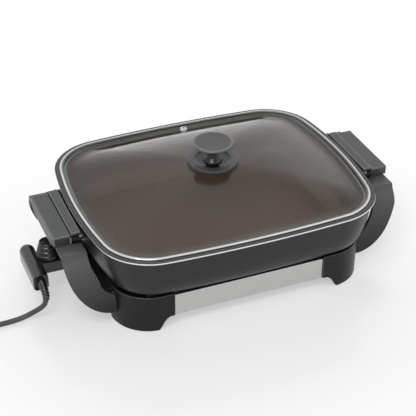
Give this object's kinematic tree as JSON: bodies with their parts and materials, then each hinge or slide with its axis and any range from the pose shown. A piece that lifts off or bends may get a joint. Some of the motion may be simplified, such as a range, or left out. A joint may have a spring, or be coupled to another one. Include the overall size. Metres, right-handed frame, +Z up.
{
  "type": "electric skillet",
  "caption": "Countertop electric skillet: a deep rectangular pan with a loose domed glass lid, on a four-footed base with side arms and a plug-in heat control.",
  "frame": {"origin": "on the surface the skillet stands on, under the middle of its box, the heat control and the handles counted and the cord left out", "axes": "+X along the long side towards the right handle, away from the heat control; -Y the front with the steel band; +Z up"},
  "size_m": [0.6722, 0.3306, 0.1863],
  "materials": {
    "coated_aluminium": "dark non-stick coating, semi-gloss",
    "dark_steel": "dark oxidised steel",
    "bright_steel": "bright plated steel",
    "polished_steel": "polished stainless steel",
    "brushed_steel": "brushed stainless steel",
    "grey_steel": "dull aluminised steel",
    "grip_plastic": "charcoal heat-resistant plastic, satin",
    "black_plastic": "black heat-resistant plastic, satin",
    "gloss_black_plastic": "glossy black heat-resistant plastic",
    "control_plastic": "black plastic with a soft gloss",
    "cord_plastic": "black flexible plastic",
    "rubber": "black rubber",
    "ceramic": "off-white heat-resistant insulator",
    "tempered_glass": "clear tempered glass, faintly green at its edge"
  },
  "bodies": {
    "base": {"base_tray": "grey_steel", "pan_rest_front_left": "ceramic", "pan_rest_front_right": "ceramic", "pan_rest_rear_left": "ceramic", "pan_rest_rear_right": "ceramic", "foot_front_left": "black_plastic", "foot_front_right": "black_plastic", "foot_rear_left": "black_plastic", "foot_rear_right": "black_plastic", "foot_pad_front_left": "rubber", "foot_pad_front_right": "rubber", "foot_pad_rear_left": "rubber", "foot_pad_rear_right": "rubber", "steel_band_front": "brushed_steel", "steel_band_rear": "brushed_steel", "side_rail_left": "black_plastic", "side_rail_right": "black_plastic", "arm_front_left": "black_plastic", "arm_front_right": "black_plastic", "arm_rear_left": "black_plastic", "arm_rear_right": "black_plastic"},
    "pan_body": {"pan": "coated_aluminium", "heating_element": "dark_steel", "terminal_block": "ceramic", "terminal_pin_front": "bright_steel", "terminal_pin_rear": "bright_steel", "terminal_guard": "dark_steel", "handle_bracket_left": "dark_steel", "handle_bracket_right": "dark_steel", "handle_screw_front_left": "bright_steel", "handle_screw_rear_left": "bright_steel", "handle_screw_front_right": "bright_steel", "handle_screw_rear_right": "bright_steel", "handle_strip_left": "grip_plastic", "handle_strip_right": "grip_plastic", "grip_panel_left": "grip_plastic", "grip_panel_right": "grip_plastic"},
    "lid": {"lid_rim": "polished_steel", "lid_glass": "tempered_glass", "vent_eyelet": "polished_steel", "knob_flange": "grip_plastic", "knob_stem": "gloss_black_plastic", "knob_disc": "grip_plastic", "knob_washer": "rubber", "knob_screw": "bright_steel"},
    "control": {"control_housing_lower": "control_plastic", "control_housing_upper": "control_plastic", "thermostat": "ceramic", "sensor_stem": "bright_steel", "strain_relief": "control_plastic", "cord": "cord_plastic", "cord_coil": "cord_plastic", "cord_tie": "rubber", "cord_tail": "cord_plastic", "plug_body": "cord_plastic", "plug_blade_left": "bright_steel", "plug_blade_right": "bright_steel"},
    "dial": {"temperature_dial": "control_plastic", "dial_shaft": "bright_steel"}
  },
  "joints": [
    {"name": "pan_lift", "type": "slide", "parent": "base", "child": "pan_body", "axis": [0, 0, 1], "range_m": [0, 0.12]},
    {"name": "lid_lift", "type": "slide", "parent": "pan_body", "child": "lid", "axis": [0, 0, 1], "range_m": [0, 0.15]},
    {"name": "control_pull", "type": "slide", "parent": "pan_body", "child": "control", "axis": [-1, 0, 0], "range_m": [0, 0.065]},
    {"name": "dial_turn", "type": "hinge", "parent": "control", "child": "dial", "pos_m": [-0.2265, 0, 0.07], "axis": [0, 0, 1], "range_deg": [-285, 0]}
  ]
}
